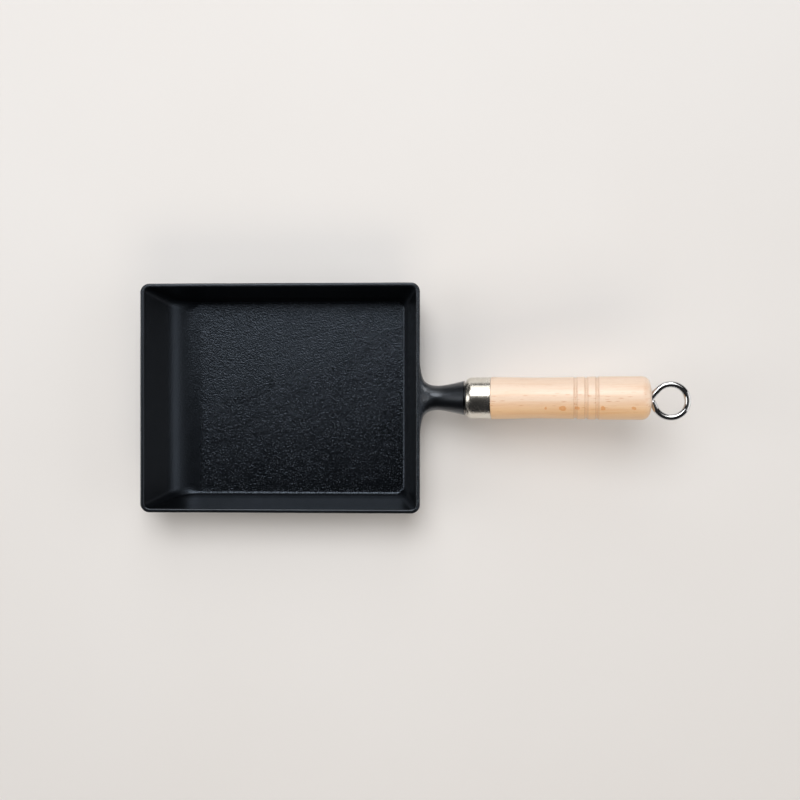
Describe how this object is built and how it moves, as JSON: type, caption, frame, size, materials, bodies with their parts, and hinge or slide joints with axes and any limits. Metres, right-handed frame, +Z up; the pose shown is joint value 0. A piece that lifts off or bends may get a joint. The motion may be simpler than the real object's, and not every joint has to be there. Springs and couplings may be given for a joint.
{
  "type": "tamagoyaki pan",
  "caption": "Rectangular cast-iron omelette pan with a raked front wall, a flared cast neck and a turned beech handle clamped on its tang by a ring bolt.",
  "frame": {"origin": "on the flat base, straight below the centre of the rim", "axes": "+X from the front wall towards the handle, +Z up out of the pan, XZ the plane that halves the pan and the handle"},
  "size_m": [0.3363, 0.1436, 0.06],
  "materials": {
    "iron": "satin black baked coat over fine sand-cast grain",
    "nickel": "polished nickel plate on drawn steel, softly blurred",
    "beech": "turned beech under a clear satin lacquer",
    "steel": "bright plated wire"
  },
  "bodies": {
    "pan_casting": {"pan": "iron"},
    "handle": {"ferrule": "nickel", "grip": "beech"},
    "eye_bolt": {"ring_bolt": "steel"}
  },
  "joints": [
    {"name": "handle_draw", "type": "slide", "parent": "pan_casting", "child": "handle", "axis": [0.9877, 0, 0.1564], "range_m": [0, 0.0084]},
    {"name": "bolt_turn", "type": "hinge", "parent": "handle", "child": "eye_bolt", "pos_m": [0.11553, 0, 0.03026], "axis": [0.9877, 0, 0.1564], "range_deg": [0, 4320]}
  ],
  "couplings": [
    {"joint": "handle_draw", "follows": "bolt_turn", "m_per_rad": 0.00011141}
  ]
}
